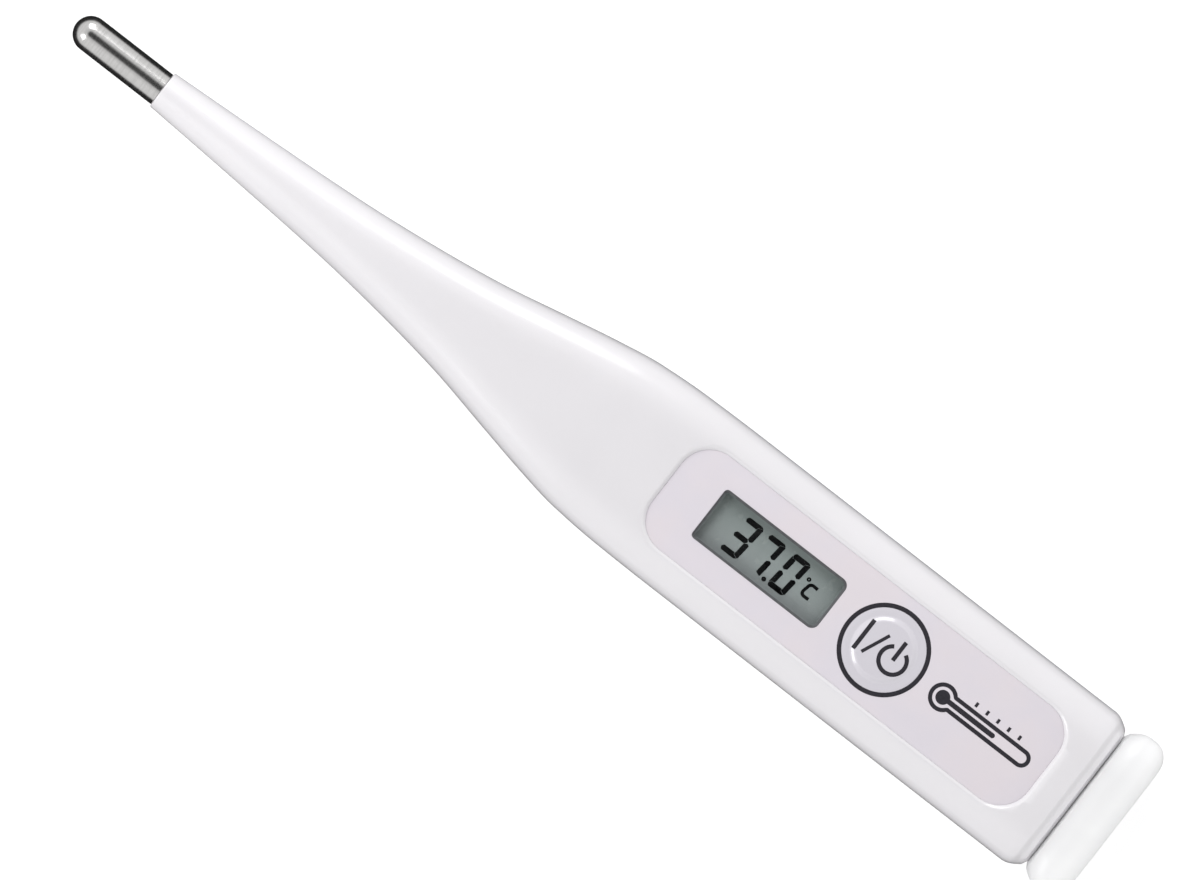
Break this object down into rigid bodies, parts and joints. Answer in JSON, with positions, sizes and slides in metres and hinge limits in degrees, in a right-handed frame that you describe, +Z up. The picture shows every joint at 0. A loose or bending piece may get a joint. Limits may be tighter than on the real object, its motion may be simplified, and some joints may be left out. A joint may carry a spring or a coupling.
{
  "type": "digital thermometer",
  "caption": "Pen-type digital clinical thermometer with a steel probe tip, display, power key, and a pull-off end cap over a sliding battery chassis.",
  "frame": {"origin": "on the surface the thermometer lies on, under the middle of its length and width", "axes": "+X along the probe axis from the steel tip to the end cap; +Z up, out of the display; +Y across, towards the top of the displayed reading"},
  "size_m": [0.1314, 0.0188, 0.01],
  "materials": {
    "shell": "satin moulded ABS, cool white",
    "cap": "translucent natural polypropylene",
    "panel": "printed polycarbonate overlay, pale lilac",
    "key": "satin moulded, pale lilac with grey print",
    "adhesive": "double-sided tape",
    "lens": "clear acrylic window",
    "steel": "polished stainless steel",
    "epoxy": "thermally conductive potting",
    "bead": "coated thermistor bead",
    "lead_red": "enamelled wire",
    "lead_green": "enamelled wire",
    "chassis": "moulded ABS",
    "board": "green solder mask on glass epoxy",
    "black_plastic": "black nylon or epoxy",
    "ceramic_chip": "tan ceramic with tinned ends",
    "resistor": "black glass with tinned ends",
    "glass": "display cell glass",
    "polariser": "grey-green polarising film",
    "reflector": "silvered polarising film",
    "zebra": "layered conductive silicone",
    "bronze": "phosphor bronze spring strip",
    "brass": "brass disc",
    "piezo": "piezo ceramic, silvered",
    "nickel": "nickel-plated steel",
    "gasket": "nylon cell gasket",
    "seal": "silicone O-ring"
  },
  "bodies": {
    "body": {"housing": "shell", "probe_tip": "steel", "tip_epoxy": "epoxy", "thermistor_bead": "bead", "thermistor_lead_1": "lead_red", "thermistor_lead_2": "lead_green", "overlay_film": "panel", "panel_adhesive": "adhesive", "display_lens": "lens"},
    "key": {"power_key": "key"},
    "tray": {"chassis": "chassis", "circuit_board": "board", "chip_glob_top": "black_plastic", "capacitor_1": "ceramic_chip", "capacitor_2": "ceramic_chip", "resistor_1": "resistor", "resistor_2": "resistor", "lcd_front_polariser": "polariser", "lcd_front_glass": "glass", "lcd_rear_glass": "glass", "lcd_reflector": "reflector", "zebra_connector_1": "zebra", "zebra_connector_2": "zebra", "display_frame": "chassis", "switch_base": "black_plastic", "switch_cover": "nickel", "switch_dome": "nickel", "battery_can": "nickel", "battery_gasket": "gasket", "battery_base": "nickel", "battery_contact_positive": "bronze", "battery_contact_negative": "bronze", "buzzer_plate": "brass", "buzzer_ceramic": "piezo", "buzzer_lead_1": "lead_red", "buzzer_lead_2": "lead_green"},
    "plunger": {"switch_plunger": "black_plastic"},
    "cap": {"battery_cap": "cap", "cap_seal": "seal"}
  },
  "joints": [
    {"name": "key_press", "type": "slide", "parent": "body", "child": "key", "axis": [0, 0, -1], "range_m": [0, 0.0003], "stiffness_N_per_m": 600},
    {"name": "cap_pull", "type": "slide", "parent": "body", "child": "cap", "axis": [1, 0, 0], "range_m": [0, 0.025]},
    {"name": "tray_slide", "type": "slide", "parent": "body", "child": "tray", "axis": [1, 0, 0], "range_m": [0, 0.014], "deforming": ["thermistor_lead_1", "thermistor_lead_2"]},
    {"name": "switch_press", "type": "slide", "parent": "tray", "child": "plunger", "axis": [0, 0, -1], "range_m": [0, 0.0003]}
  ],
  "couplings": [
    {"joint": "tray_slide", "follows": "cap_pull", "ratio": 0.56},
    {"joint": "switch_press", "follows": "key_press", "ratio": 1}
  ]
}
